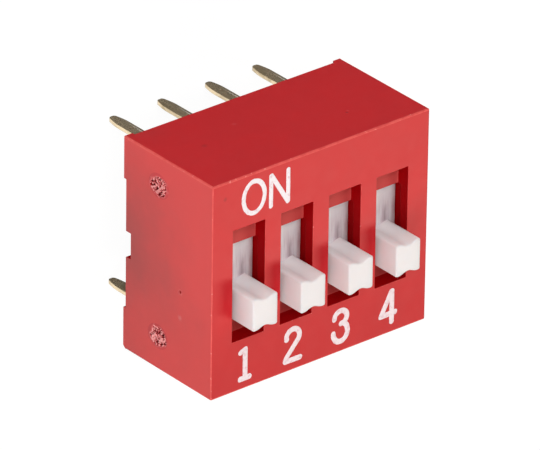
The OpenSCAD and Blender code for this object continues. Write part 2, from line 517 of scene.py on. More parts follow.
def even_out(thing: bpy.types.Object) -> None:
    """Shades a mesh's large faces flat, with every rounded edge rolling smoothly between them.

    Args:
        thing: the object, whose mesh is replaced.
    """
    thing.data.polygons.foreach_set("use_smooth", [True] * len(thing.data.polygons))
    thing.data.set_sharp_from_angle(angle=CREASE)
    change = thing.modifiers.new("normals", "WEIGHTED_NORMAL")
    change.mode = "FACE_AREA"
    change.weight = 100
    change.keep_sharp = True
    settle(thing, change)


def mark_rims(thing: bpy.types.Object, share: Callable[[Vector], float]) -> None:
    """Stores each face's share of painted highlight and nicks in the "rim" attribute: 0 for flat faces, more
    for rounded edges.

    Args:
        thing: the object.
        share: gives that share for a rounded edge's face from its middle in millimetres.
    """
    blunt = 0.985  # the largest share of one axis that a rounded edge's normal has
    rim = thing.data.attributes.new("rim", "FLOAT", "FACE")
    for face, wear in zip(thing.data.polygons, rim.data):
        wear.value = share(face.center / MM) if max(abs(c) for c in face.normal) < blunt else 0.0


def traced(name: str, paths: list[tuple[list[Point2], bool]], level: float) -> bpy.types.Mesh:
    """Lays paths out on one level, as a mesh of edges only.

    Args:
        name: the mesh's name.
        paths: each path's points in millimetres, and True if it joins its own start.
        level: the height that they lie at.

    Returns:
        The mesh.
    """
    points: list[Point3] = []
    edges: list[tuple[int, int]] = []
    for path, closed in paths:
        first = len(points)
        points += [(x * MM, y * MM, level * MM) for x, y in path]
        edges += [(k, k + 1) for k in range(first, len(points) - 1)]
        if closed:
            edges.append((len(points) - 1, first))
    mesh = bpy.data.meshes.new(name)
    mesh.from_pydata(points, edges, [])
    return mesh


def loft(work: bmesh.types.BMesh, outlines: list[list[Point3]]) -> None:
    """Adds a closed solid to a shape: walls from outline to outline, and a cap at each end.

    Args:
        work: the shape that gets it.
        outlines: its sections in millimetres, all with as many points, each anticlockwise as seen
            from the last of them.
    """
    rings = [[work.verts.new((x * MM, y * MM, z * MM)) for x, y, z in outline] for outline in outlines]
    for lower, upper in zip(rings, rings[1:]):
        for k in range(len(lower)):
            following = (k + 1) % len(lower)
            work.faces.new((lower[k], lower[following], upper[following], upper[k]))
    work.faces.new(list(reversed(rings[0])))
    work.faces.new(rings[-1])


def prism(outline: list[Point2], low: float, high: float) -> bmesh.types.BMesh:
    """Makes an upright solid.

    Args:
        outline: its plan in millimetres, anticlockwise.
        low: the height of its bottom.
        high: the height of its top.

    Returns:
        The solid.
    """
    work = bmesh.new()
    loft(work, [[(x, y, z) for x, y in outline] for z in (low, high)])
    return work


def rectangle(centre: Point2, width: float, length: float) -> list[Point2]:
    """The corners of a rectangle.

    Args:
        centre: its middle.
        width: its size along X.
        length: its size along Y.

    Returns:
        Four points, anticlockwise.
    """
    corners = ((-1, -1), (1, -1), (1, 1), (-1, 1))
    return [(centre[0] + sx * width / 2, centre[1] + sy * length / 2) for sx, sy in corners]


def plan_of(low: Vector, high: Vector) -> tuple[Point2, float, float]:
    """The middle of a box as seen from above, and its sizes along X and Y."""
    return ((low.x + high.x) / 2, (low.y + high.y) / 2), high.x - low.x, high.y - low.y


def arc(centre: Point2, radii: Point2, start: float, stop: float, steps: int = 24) -> list[Point2]:
    """Points along a round or oval arc.

    Args:
        centre: the arc's middle.
        radii: its half-width and half-height.
        start: the angle of its first point, in degrees.
        stop: the angle of its last point.
        steps: how many straight steps it has.

    Returns:
        The points, in order.
    """
    angles = (math.radians(start + (stop - start) * k / steps) for k in range(steps + 1))
    return [(centre[0] + radii[0] * math.cos(a), centre[1] + radii[1] * math.sin(a)) for a in angles]


def oval(centre: Point2, radii: Point2, steps: int) -> list[Point2]:
    """Points right round a circle or an oval.

    Args:
        centre: its middle.
        radii: its half-width and half-height.
        steps: how many straight steps it has.

    Returns:
        The points, anticlockwise, each once.
    """
    return arc(centre, radii, 0, 360 - 360 / steps, steps - 1)


def dress(piece: bpy.types.Object, material: bpy.types.Material) -> None:
    """Gives a piece one material.

    Args:
        piece: the object.
        material: what it is made of.
    """
    piece.data.materials.clear()
    piece.data.materials.append(material)


def box_mm(node: str) -> tuple[Vector, Vector]:
    """A CAD node's lowest and highest corner, in millimetres."""
    low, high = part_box(node)
    return low / MM, high / MM


# ---------------------------------------------------------------- finishes


@dataclass(frozen=True)
class Blemish:
    """A mark in a moulded surface: a dent, a pimple, a stain, or a patch of painted shade.

    Attributes:
        centre: where it is, in millimetres.
        radius: how far it reaches.
        depth: how deep it is; a negative depth stands proud, and 0 is colour only.
        tint: the colour that it turns the plastic.
        strength: how strongly it does.
    """

    centre: Point3
    radius: float
    depth: float
    tint: Colour
    strength: float


@dataclass(frozen=True)
class Rub:
    """A streak of colour painted along a slider's plate on both sides of its knob, most of them painted
    shade.

    Attributes:
        across: how far it lies from the slider's middle line, in millimetres.
        half_width: how far it reaches to either side.
        start: how far from the slider's middle it begins.
        end: how far from the middle it has faded out.
        shade: how much it colours the plastic.
        tint: the colour that it paints.
        top: the height up to which it is painted.
    """

    across: float
    half_width: float
    start: float
    end: float
    shade: float
    tint: Colour
    top: float = 4.82


@dataclass(frozen=True)
class MouldedPlastic:
    """Injection-moulded plastic: faint flow clouds, a fine satin texture and a slightly wavy skin.

    Attributes:
        name: the material's name.
        colour: the plastic's colour.
        cloud: its colour in the flow clouds.
        roughness: its roughness on average.
        satin: how far the roughness wanders in patches.
        specular: the strength of its gloss.
        bleed: how far each colour of light spreads inside it, in millimetres.
        bleed_share: how much of the light does.
        grain_depth: the depth of the fine texture, in millimetres.
        wave_depth: the depth of the skin's slow waves.
        dulled: how much rougher it is on the number side than on the ON side.
        dimmed: how much darker it is there: painted shade for the light that falls off towards that side.
        hazed: how far its two end faces are painted paler: painted sheen in place of their gloss.
        haze: the colour of that painted sheen.
        retint: the colour painted on its rounded edges: a painted highlight in place of their gloss.
        nick: the colour of the small nicks in them.
        blemishes: its marks.
        rubs: the streaks painted on it, most of them painted shade.
    """

    name: str
    colour: Colour
    cloud: Colour
    roughness: float
    satin: float = 0.03
    specular: float = 0.5
    bleed: Colour = (0.0, 0.0, 0.0)
    bleed_share: float = 0.0
    grain_depth: float = 0.0012
    wave_depth: float = 0.003
    dulled: float = 0.0
    dimmed: float = 0.0
    hazed: float = 0.0
    haze: Colour = PURE_WHITE
    worn: Colour | None = None
    nick: Colour = PURE_WHITE
    blemishes: tuple[Blemish, ...] = ()
    rubs: tuple[Rub, ...] = ()

    def surface(self) -> Surface:
        """Starts the material, with the values that are the same all over.

        Returns:
            The material, still without its patterns.
        """
        glow = {}
        if self.bleed_share:
            glow = {"Subsurface_Weight": self.bleed_share, "Subsurface_Radius": self.bleed,
                    "Subsurface_Scale": MM}
        return Surface(self.name, IOR=1.5, Specular_IOR_Level=self.specular, **glow)

    def paint(self, surface: Surface) -> tuple[Socket, list[Layer]]:
        """Makes the plastic's colour and relief.

        Args:
            surface: the material.

        Returns:
            The colour's socket, and the relief's layers.
        """
        at = surface.millimetres()
        clouds = surface.noise(at, 0.45, detail=3.0, swirl=0.9, seed=1.7)
        streaks = surface.noise(surface.millimetres((0.6, 0.6, 2.2)), 0.9, detail=4.0, rough=0.6, seed=4.1)
        mix = surface.ramp(surface.plus(clouds, surface.times(streaks, 0.5)), 0.5, 1.0)
        colour = self.aged(surface, at, surface.blend(mix, self.colour, self.cloud))
        layers = [(surface.noise(at, 0.9, detail=1.0, seed=2.0), self.wave_depth),
                  (surface.noise(at, 26.0, detail=2.0, rough=0.6, seed=3.0), self.grain_depth)]
        for mark in self.blemishes:
            mask = surface.spot(at, mark.centre, mark.radius)
            layers.append((surface.times(mask, -math.copysign(1.0, mark.depth)), abs(mark.depth)))
            colour = surface.blend(surface.times(mask, mark.strength), colour, mark.tint)
        for streak in self.rubs:
            colour = self.rubbed(surface, colour, streak)
        return colour, layers

    def aged(self, surface: Surface, at: Socket, colour: Socket) -> Socket:
        """Paints shade on the number side and sheen on the end faces, and a highlight and nicks on the
        rounded edges.

        Args:
            surface: the material.
            at: the coordinates in millimetres.
            colour: the new plastic's colour.

        Returns:
            The colour's new socket.
        """
        # Painted shade: darker towards the number side, where less light falls.
        if self.dimmed:
            shade = surface.times(self.number_side(surface), self.dimmed)
            colour = surface.blend(shade, colour, BLACK)
        # Painted sheen: the end faces are painted paler, in place of the gloss that they reflect.
        if self.hazed:
            painted_sheen = surface.times(self.end_faces(surface), self.hazed)
            colour = surface.blend(painted_sheen, colour, self.haze)
        # Painted highlight: the rounded edges are painted paler; the pale nicks in them are marks.
        if self.worn:
            rim = surface.attribute("rim")
            patches = surface.noise(at, 2.2, detail=4.0, rough=0.65, seed=11.0)
            patchy = surface.ramp(patches, 0.28, 0.62, 0.45, 1.0)
            colour = surface.blend(surface.times(rim, patchy), colour, self.worn)
            specks = surface.noise(at, 7.0, detail=3.0, rough=0.6, seed=12.0)
            nicks = surface.times(rim, surface.ramp(specks, 0.62, 0.70))
            colour = surface.blend(nicks, colour, self.nick)
        return colour

    @staticmethod
    def number_side(surface: Surface) -> Socket:
        """A mask that is 1 at the number side and fades to 0 a little past the middle.

        Args:
            surface: the material.

        Returns:
            The mask's socket.
        """
        full, faded = -4.6, 1.6
        across = surface.split(surface.millimetres())[1]
        return surface.ramp(across, full, faded, 1.0, 0.0)

    @staticmethod
    def end_faces(surface: Surface) -> Socket:
        """A mask of the body's two end faces.

        Args:
            surface: the material.

        Returns:
            The mask's socket.
        """
        clear, full = 0.06, 0.01
        along = surface.math("ABSOLUTE", surface.split(surface.millimetres())[0])
        end = box_mm("cover")[1].x
        return surface.ramp(along, end - clear, end - full)

    @staticmethod
    def rubbed(surface: Surface, colour: Socket, streak: Rub) -> Socket:
        """Paints a streak on the plate, in the piece's own "local" coordinates.

        Args:
            surface: the material.
            colour: the colour's socket so far.
            streak: the streak.

        Returns:
            The new colour's socket.
        """
        local = surface.attribute("local", "Vector")
        place = surface.split(local)
        off = surface.math("ABSOLUTE", surface.minus(place[0], streak.across))
        along = surface.math("ABSOLUTE", place[1])
        wander = surface.times(surface.noise(local, 2.5, detail=3.0, seed=7.0), 0.5 * streak.half_width)
        full, faded = 0.15 * streak.half_width, 1.25 * streak.half_width
        band = surface.ramp(surface.plus(off, wander), full, faded, 1.0, 0.0)
        drawn_out = {"Vector": local, "Scale": (1.0, 0.08, 1.0)}
        lines = surface.add("ShaderNodeMapping", drawn_out).outputs[0]
        streak_lines = surface.noise(lines, 6.5, detail=3.0, rough=0.6, seed=streak.across)
        across = surface.times(band, surface.ramp(streak_lines, 0.36, 0.62, 0.15, 1.0))
        length = surface.ramp(along, streak.start, streak.end, 1.0, 0.0)
        above = 0.04
        on_plate = surface.ramp(place[2], streak.top, streak.top + above, 1.0, 0.0)
        share = surface.times(surface.times(across, length), surface.times(on_plate, streak.shade))
        return surface.blend(share, colour, streak.tint)

    def material(self) -> bpy.types.Material:
        """Builds the material.

        Returns:
            The plastic's material.
        """
        surface = self.surface()
        colour, layers = self.paint(surface)
        patches = surface.noise(surface.millimetres(), 2.3, detail=3.0, rough=0.6, seed=5.0)
        rough = surface.ramp(patches, 0.3, 0.7, self.roughness - self.satin, self.roughness + self.satin)
        if self.dulled:
            rough = surface.plus(rough, surface.times(self.number_side(surface), self.dulled))
        surface.feed(surface.shader.inputs["Base Color"], colour)
        surface.feed(surface.shader.inputs["Roughness"], rough)
        surface.relief(*layers)
        return surface.material


@dataclass(frozen=True)
class TornPlastic:
    """Plastic that was sheared off at a gate: pale ridges, and tears painted dark as shade, in the moulded
    skin round them.

    Attributes:
        name: the material's name.
        skin: the plastic that it was torn from.
        pale: the colour of the stress-whitened ridges.
        deep: the colour at the bottom of the tears: painted shade.
    """

    name: str
    skin: MouldedPlastic
    pale: Colour
    deep: Colour

    def material(self) -> bpy.types.Material:
        """Builds the material, which reads the height that is stored on the torn mesh.

        Returns:
            The torn plastic's material.
        """
        surface = Surface(self.name, IOR=1.5, Specular_IOR_Level=self.skin.specular)
        at = surface.millimetres()
        height = surface.attribute("torn")
        base = self.skin.paint(surface)[0]
        ridged = surface.blend(surface.ramp(height, 0.50, 0.82), base, self.pale)
        # Painted shade: the tears darken towards their bottom.
        colour = surface.blend(surface.ramp(height, 0.44, 0.14), ridged, self.deep)
        surface.feed(surface.shader.inputs["Base Color"], colour)
        rough = surface.ramp(height, 0.10, 0.46, 0.95, self.skin.roughness)
        surface.feed(surface.shader.inputs["Roughness"], rough)
        surface.relief((surface.noise(at, 24.0, detail=3.0, rough=0.7, seed=6.0), 0.006))
        return surface.material


@dataclass(frozen=True)
class GoldPlate:
    """Thin gold over stamped brass, with rolling streaks along the strip and dull patches.

    Attributes:
        name: the material's name.
        colour: the colour of the bright gold.
        dull: the colour of the tarnished patches.
        roughness: its roughness on average.
        along: how much finer its streaks are along each axis.
        metal: how metallic it is: the tarnish scatters the rest.
        score: how far from its middle line a bright line is painted, in millimetres: a painted highlight for
            the rolled edge.
        bare: the colour of that line.
    """

    name: str
    colour: Colour
    dull: Colour
    roughness: float
    along: Point3
    metal: float = 1.0
    score: float | None = None
    bare: Colour = (1.0, 0.95, 0.86)

    def material(self) -> bpy.types.Material:
        """Builds the material.

        Returns:
            The plating's material.
        """
        surface = Surface(self.name)
        at = surface.millimetres()
        streaks = surface.noise(surface.millimetres(self.along), 9.0, detail=4.0, rough=0.65, seed=1.0)
        patches = surface.noise(at, 1.4, detail=3.0, swirl=0.6, seed=2.0)
        mix = surface.ramp(surface.plus(surface.times(streaks, 0.6), patches), 0.6, 1.1)
        plated = surface.blend(mix, self.colour, self.dull)
        metal = surface.ramp(patches, 0.35, 0.65, self.metal, self.metal - 0.08)
        # Painted highlight: a pale, less metallic line down each pin in place of the glint of its rolled
        # edge.
        if self.score is not None:
            line = self.scored(surface, at)
            plated = surface.blend(line, plated, self.bare)
            metal = surface.minus(metal, surface.times(line, 0.6))
        surface.feed(surface.shader.inputs["Metallic"], metal)
        surface.feed(surface.shader.inputs["Base Color"], plated)
        rough = surface.ramp(patches, 0.3, 0.7, self.roughness - 0.06, self.roughness + 0.12)
        surface.feed(surface.shader.inputs["Roughness"], rough)
        surface.relief((streaks, 0.0025), (surface.noise(at, 18.0, detail=2.0, seed=3.0), 0.001))
        return surface.material

    def scored(self, surface: Surface, at: Socket) -> Socket:
        """A mask of the painted highlight line down each pin, from the body to above the tip.

        Args:
            surface: the material.
            at: the coordinates in millimetres.

        Returns:
            A value of 1 on the line and 0 off it.
        """
        full, faded, wandering = 0.020, 0.045, 0.02
        foot, head = -2.5, -1.5
        place = surface.split(at)
        across = surface.minus(surface.math("WRAP", place[0], PITCH, 0.0), PITCH / 2 + self.score)
        wander = surface.times(surface.noise(surface.millimetres(self.along), 3.0, seed=6.0), wandering)
        off = surface.plus(surface.math("ABSOLUTE", across), wander)
        return surface.times(surface.ramp(off, full, faded, 1.0, 0.0), surface.ramp(place[2], foot, head))


@dataclass(frozen=True)
class CastResin:
    """Cured epoxy with a glossy skin, slow ripples and a few trapped bubbles.

    Attributes:
        name: the material's name.
        colour: its colour where it is thin.
        thick: its colour where it is thick.
    """

    name: str
    colour: Colour
    thick: Colour

    def material(self) -> bpy.types.Material:
        """Builds the material.

        Returns:
            The resin's material.
        """
        surface = Surface(self.name, IOR=1.55, Coat_Weight=0.3, Coat_Roughness=0.08)
        at = surface.millimetres()
        depth = surface.noise(at, 0.5, detail=2.0, swirl=1.2, seed=1.0)
        cells = surface.add("ShaderNodeTexVoronoi", {"Vector": at, "Scale": 1.1}, feature="F1")
        bubbles = surface.ramp(cells.outputs["Distance"], 0.05, 0.14, 1.0, 0.0)
        surface.feed(surface.shader.inputs["Base Color"], surface.blend(depth, self.colour, self.thick))
        surface.feed(surface.shader.inputs["Roughness"], surface.ramp(depth, 0.3, 0.7, 0.16, 0.3))
        surface.relief((depth, 0.03), (bubbles, 0.015))
        return surface.material


@dataclass(frozen=True)
class LegendInk:
    """White stamping ink: a matt skin with tiny hollows where the colour beneath shows through.

    Attributes:
        name: the material's name.
        colour: the colour of the full ink.
        thin: the colour of the thinnest ink.
        worn: how much thinner it is on the number side than on the ON side.
    """

    name: str
    colour: Colour
    thin: Colour
    worn: float

    def material(self) -> bpy.types.Material:
        """Builds the material.

        Returns:
            The ink's material.
        """
        surface = Surface(self.name, IOR=1.45)
        at = surface.millimetres()
        cover = surface.noise(at, 6.5, detail=3.0, rough=0.6, seed=8.0)
        place = surface.split(at)
        thinner = surface.ramp(place[1], -3.0, 3.0, self.worn, 0.0)
        kept = surface.minus(surface.ramp(cover, 0.26, 0.50), thinner)
        colour = surface.blend(kept, self.thin, self.colour)
        surface.feed(surface.shader.inputs["Base Color"], colour)
        surface.feed(surface.shader.inputs["Roughness"], surface.ramp(cover, 0.3, 0.7, 0.6, 0.45))
        surface.relief((surface.noise(at, 14.0, detail=2.0, seed=9.0), 0.003))
        return surface.material


DARK_RED: Colour = (0.10, 0.0, 0.003)
PALE_RED: Colour = (0.80, 0.16, 0.15)
# Painted shade for the inside of a pit.
PIT_SHADE_RED: Colour = (0.03, 0.0, 0.001)
RED = MouldedPlastic(
    name="moulded_red",
    colour=(0.66, 0.002, 0.008),
    cloud=(0.63, 0.003, 0.009),
    roughness=0.53,
    satin=0.012,
    dulled=0.06,
    # Painted shade: darker towards the number side.
    dimmed=0.10,
    # Painted sheen on both end faces.
    hazed=0.32,
    haze=(1.0, 0.152, 0.133),
    # Painted highlight on the rounded edges.
    worn=(0.86, 0.105, 0.092),
    nick=(1.0, 0.42, 0.38),
    blemishes=(
        # Painted shade: a soft dark patch over the lower part of the number 1 end.
        Blemish((-5.75, -0.20, -0.50), 6.20, 0.0, (0.10, 0.050, 0.046), 0.50),
        Blemish((-5.75, -0.73, 3.75), 0.20, -0.02, PALE_RED, 0.60),
        # Painted shade: the pit's inside is painted nearly black.
        Blemish((-5.68, -0.73, 3.75), 0.08, 0.10, PIT_SHADE_RED, 1.0),
        Blemish((-5.75, -1.92, 3.76), 0.18, -0.03, PALE_RED, 0.90),
        Blemish((2.80, 4.95, 3.98), 0.10, 0.01, DARK_RED, 0.45),
        Blemish((2.92, 4.95, 3.88), 0.10, -0.01, PALE_RED, 0.35),
        Blemish((-1.55, 4.95, 1.96), 0.16, -0.008, PALE_RED, 0.22),
        Blemish((-3.70, 4.95, 2.70), 0.20, 0.004, DARK_RED, 0.22),
        Blemish((-5.10, 4.20, 5.80), 0.14, 0.004, DARK_RED, 0.35),
    ),
)
# Painted shade: a darker, duller copy of the red for the inner walls of the slots, tracks and cavity.
RED_INNER_SHADE = MouldedPlastic(
    name="moulded_red_inner_shade",
    colour=(0.38, 0.0, 0.002),
    cloud=(0.35, 0.0, 0.002),
    roughness=0.70,
    specular=0.05,
    grain_depth=0.003,
)
# Painted sheen: the ledges are painted pinker, in place of the gloss that the slot walls shade from them.
RED_LEDGE_SHEEN = MouldedPlastic(
    name="moulded_red_ledge_sheen",
    colour=(0.57, 0.066, 0.062),
    cloud=(0.53, 0.060, 0.056),
    roughness=0.60,
    specular=0.12,
    grain_depth=0.003,
)
RED_MATT = MouldedPlastic(
    name="moulded_red_matt",
    colour=(0.42, 0.010, 0.014),
    cloud=(0.36, 0.010, 0.014),
    roughness=0.62,
    grain_depth=0.004,
)
WHITE = MouldedPlastic(
    name="moulded_white",
    colour=(0.885, 0.835, 0.84),
    cloud=(0.865, 0.815, 0.82),
    roughness=0.60,
    bleed=(1.0, 0.8, 0.75),
    bleed_share=0.6,
    grain_depth=0.0008,
    rubs=(
        # Painted shade: a lilac-grey veil over the plate, strongest next to the knob.
        Rub(0.10, 1.60, 1.10, 2.50, 0.60, tint=(0.44, 0.27, 0.35)),
        # A dark streak along the plate near the knob, off its middle line.
        Rub(0.43, 0.17, 1.00, 1.75, 0.66, tint=(0.16, 0.07, 0.08)),
        # Painted shade along the plate's +X edge, next to the slot's wall.
        Rub(0.95, 0.26, 9.00, 9.50, 0.55, tint=(0.40, 0.12, 0.13)),
    ),
)
TORN = TornPlastic(
    name="torn_gate",
    # Its paler, pinker skin colour is painted sheen in place of the gloss that its low specular leaves out.
    skin=replace(RED, colour=(0.71, 0.076, 0.082), cloud=(0.69, 0.076, 0.082), specular=0.1, hazed=0.0),
    pale=(1.0, 0.42, 0.41),
    # Painted shade at the bottom of the tears.
    deep=(0.08, 0.0, 0.002),
)
# The pins carry a painted highlight line.
GOLD_PIN = GoldPlate("gold_pin", (0.94, 0.76, 0.50), (0.56, 0.44, 0.26), 0.26, (1.0, 1.0, 0.06),
                     metal=0.88, score=0.13)
GOLD_SPRING = GoldPlate("gold_spring", (0.86, 0.68, 0.36), (0.70, 0.55, 0.30), 0.22, (1.0, 0.06, 1.0))
RESIN = CastResin("cast_resin", (0.20, 0.085, 0.03), (0.09, 0.035, 0.015))
INK = LegendInk("legend_ink", (0.95, 0.865, 0.90), (0.84, 0.56, 0.60), 0.34)


# ---------------------------------------------------------------- housing


@dataclass(frozen=True)
class Gate:
    """The place where one of the mould's gates was sheared off the number 1 end.

    Attributes:
        along: how far it is from the middle of the end, along Y.
        height: how high its middle is above the seating plane.
        half_width: half its size along Y.
        half_height: half its size along Z.
        pocket: how deep its pocket is.
    """

    along: float
    height: float = 2.30
    half_width: float = 0.50
    half_height: float = 0.60
    pocket: float = 0.12

    def rim(self) -> list[Point2]:
        """The points along Y and Z of the pocket's oval outline."""
        return oval((self.along, self.height), (self.half_width, self.half_height), steps=48)


GATES = (Gate(-3.42), Gate(3.58))
PITS = (Gate(-0.73, 3.75, 0.075, 0.075, 0.15), Gate(-1.92, 3.76, 0.03, 0.03, 0.03))


@dataclass
class Cover:
    """The red cover: the CAD shape with every edge rounded as its mould leaves it.

    Attributes:
        outer_round: the radius of the long outer edges.
        foot_share: the radius of the edges at the bottom, as a share of that.
        slot_share: the same for the rims of the slots and their ledges.
        segments: how many steps round each edge.
        inner_margin: how far in from the outside the inner faces begin.
        outer_wear: how strongly the outer edges take the painted highlight and the nicks, from 0 to 1.
        rim_wear: the same for the slots' rims.
    """

    outer_round: float = 0.075
    foot_share: float = 0.15
    slot_share: float = 0.40
    segments: int = 4
    inner_margin: float = 0.20
    outer_wear: float = 1.0
    rim_wear: float = 0.45

    @staticmethod
    def outer_faces(middle: Vector, low: Vector, high: Vector, near: float) -> tuple[bool, bool, bool]:
        """Finds which of the cover's outer faces a spot is near.

        Args:
            middle: the spot, in millimetres.
            low: the cover's lowest corner.
            high: the cover's highest corner.
            near: how close counts.

        Returns:
            Whether it is near an end, a side and the top.
        """
        at_end = min(middle.x - low.x, high.x - middle.x) < near
        at_side = min(middle.y - low.y, high.y - middle.y) < near
        return at_end, at_side, high.z - middle.z < near

    def weight(self, middle: Vector, low: Vector, high: Vector) -> float:
        """How strongly an edge is rounded.

        Args:
            middle: the edge's middle, in millimetres.
            low: the cover's lowest corner.
            high: the cover's highest corner.

        Returns:
            A share of the outer radius.
        """
        at_end, at_side, at_top = self.outer_faces(middle, low, high, near=0.01)
        if at_end + at_side + at_top > 1:
            return 1.0
        return self.foot_share if at_end or at_side else self.slot_share

    def wear(self, middle: Vector, low: Vector, high: Vector) -> float:
        """How strongly a rounded edge takes the painted highlight and the nicks: the outer edges most, the
        slots' rims less, the pockets not at all.

        Args:
            middle: the middle of a face on the edge, in millimetres.
            low: the cover's lowest corner.
            high: the cover's highest corner.

        Returns:
            That strength, from 0 to 1.
        """
        at_end, at_side, at_top = self.outer_faces(middle, low, high, near=self.outer_round)
        if at_end + at_side + at_top > 1:
            return self.outer_wear
        return self.rim_wear if at_top else 0.0

    @staticmethod
    def cut_gates(cover: bpy.types.Object, end: float) -> None:
        """Sinks the gates' pockets and the small pits into the number 1 end.

        Args:
            cover: the rounded cover.
            end: where the end face is, along X.
        """
        cutter = bmesh.new()
        for gate in GATES + PITS:
            sections = (end - gate.pocket, end + gate.pocket)
            loft(cutter, [[(x, y, z) for y, z in gate.rim()] for x in sections])
        combine(cover, cutter, Join.CUT)

    def build(self) -> bpy.types.Object:
        """Rounds the cover, sinks its gates and gives it its finishes, with painted shade on the inner walls
        and painted sheen on the ledges.

        Returns:
            The finished cover, which replaces its CAD node.
        """
        low, high = box_mm("cover")
        work = whole_copy("cover")
        weights = work.edges.layers.float.new("bevel_weight_edge")
        for edge in work.edges:
            if len(edge.link_faces) == 2 and edge.calc_face_angle(0.0) > CORNER:
                middle = (edge.verts[0].co + edge.verts[1].co) / 2 / MM
                edge[weights] = self.weight(middle, low, high)
        cover = rounded("cover_shell", work, self.outer_round, self.segments, by_weight=True)
        self.cut_gates(cover, low.x)
        even_out(cover)
        mark_rims(cover, lambda middle: self.wear(middle, low, high))
        dress(cover, RED.material())
        # The inner walls get painted shade and the ledges painted sheen.
        cover.data.materials.append(RED_INNER_SHADE.material())
        cover.data.materials.append(RED_LEDGE_SHEEN.material())
        wall, ledge, level = 1, 2, 0.5
        for face in cover.data.polygons:
            if self.is_inner(face.center / MM, low, high):
                face.material_index = ledge if abs(face.normal.z) >= level else wall
        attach(cover, HOUSING)
        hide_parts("cover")
        log.info("cover: %d faces", len(cover.data.polygons))
        return cover

    def is_inner(self, spot: Vector, low: Vector, high: Vector) -> bool:
        """Whether a face belongs to the slots, tracks or cavity.

        Args:
            spot: the middle of the face.
            low: the cover's lowest corner.
            high: the cover's highest corner.

        Returns:
            True for an inner face.
        """
        edge = self.inner_margin
        across = low.x + edge < spot.x < high.x - edge and low.y + edge < spot.y < high.y - edge
        return across and spot.z < high.z - self.outer_round * self.slot_share


@dataclass
class GateScars:
    """The torn plastic in the gates' pockets, with a faint halo of pressed skin round each.

    Attributes:
        halo: how far the patch reaches outside the pocket.
        torn: the torn part's size as a share of the patch.
        relief: how far the highest ridge stands above the deepest tear.
        proud: how far the highest ridge stands out of the end face.
        steps: how many steps the patch has each way.
    """

    halo: float = 0.14
    torn: float = 0.68
    relief: float = 0.13
    proud: float = 0.03
    steps: int = 120

    def recipe(self) -> Recipe:
        """Builds the tree that tears a patch and sets one on each carrier point.

        Returns:
            The tree, which lifts its relief towards -X.
        """
        gate = GATES[0]
        tree = Recipe("torn_gate", Width=2 * (gate.half_width + self.halo) * MM,
                      Height=2 * (gate.half_height + self.halo) * MM, Torn=self.torn,
                      Relief=self.relief * MM, Proud=self.proud * MM, Steps=self.steps, Seed=3.0,
                      Material=TORN.material())
        patch = tree.grid("Height", "Width")
        spot = tree.split(tree.position())
        across = tree.math("DIVIDE", spot[0], tree.times(tree.entry["Height"], 0.5))
        along = tree.math("DIVIDE", spot[1], tree.times(tree.entry["Width"], 0.5))
        out = tree.math("SQRT", tree.plus(tree.math("POWER", across, 2.0), tree.math("POWER", along, 2.0)))
        beyond = {"Geometry": patch, "Selection": tree.math("GREATER_THAN", out, 1.0)}
        kept = tree.add("GeometryNodeDeleteGeometry", beyond).outputs[0]
        upright = {"Points": tree.entry["Geometry"], "Instance": tree.stored(kept, "out", out),
                   "Rotation": (0.0, -math.pi / 2, 0.0)}
        turned = tree.add("GeometryNodeInstanceOnPoints", upright).outputs[0]
        return self.tear(tree, tree.add("GeometryNodeRealizeInstances", {"Geometry": turned}).outputs[0])

    @staticmethod
    def tear(tree: Recipe, patches: Socket) -> Recipe:
        """Adds the torn relief to the tree and stores its height from 0 to 1 for the colour.

        Args:
            tree: the tree so far.
            patches: the flat patches' socket.

        Returns:
            The finished tree.
        """
        radial = tree.add("GeometryNodeInputNamedAttribute", {"Name": "out"}, data_type="FLOAT")
        out = radial.outputs["Attribute"]
        at = tree.position_mm()
        seed = tree.entry["Seed"]
        wander = tree.minus(tree.noise(at, 3.0, detail=2.0, seed=seed), 0.5)
        past = tree.plus(tree.minus(out, tree.entry["Torn"]), tree.times(wander, 0.9))
        lumps = tree.ramp(tree.noise(at, 8.5, detail=2.0, rough=0.6, swirl=1.2, seed=seed), 0.42, 0.60)
        hollows = tree.ramp(tree.noise(at, 2.4, detail=1.0, seed=tree.plus(seed, 4.0)), 0.42, 0.58)
        inside = tree.times(lumps, tree.plus(tree.times(hollows, 0.15), 0.85))
        outside = tree.ramp(past, 0.0, 0.20, 0.62, 0.47)
        intact = tree.ramp(past, -0.03, 0.05)
        height = tree.between(intact, inside, outside)
        named = tree.stored(patches, "torn", height)
        ridge = tree.times(tree.minus(1.0, height), tree.entry["Relief"])
        rough_lift = tree.minus(tree.entry["Proud"], ridge)
        skin_lift = tree.times(tree.ramp(out, 0.60, 1.0, 0.5, -0.12), tree.entry["Proud"])
        lift = tree.between(intact, rough_lift, skin_lift)
        tree.finish(tree.moved(named, Offset=tree.vector(X=tree.times(lift, -1.0))))
        return tree

    def build(self) -> bpy.types.Object:
        """Makes both marks as one piece.

        Returns:
            The marks.
        """
        end = box_mm("cover")[0].x
        carrier = bpy.data.meshes.new("gate_points")
        carrier.from_pydata([(end * MM, gate.along * MM, gate.height * MM) for gate in GATES], [], [])
        scars = self.recipe().make("gate_scars", carrier)
        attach(scars, HOUSING)
        log.info("gate scars: %d faces", len(scars.data.polygons))
        return scars


@dataclass(frozen=True)
class Glyph:
    """One drawn sign: pen strokes in millimetres, from the middle of its foot line.

    Attributes:
        strokes: the pen's paths.
        closed: True if each path joins its own start.
    """

    strokes: tuple[tuple[Point2, ...], ...]
    closed: bool = False


def glyph(*strokes: list[Point2], closed: bool = False) -> Glyph:
    """Makes a glyph from lists of points.

    Args:
        *strokes: the pen's paths.
        closed: True if each path joins its own start.

    Returns:
        The glyph.
    """
    return Glyph(tuple(tuple(path) for path in strokes), closed)


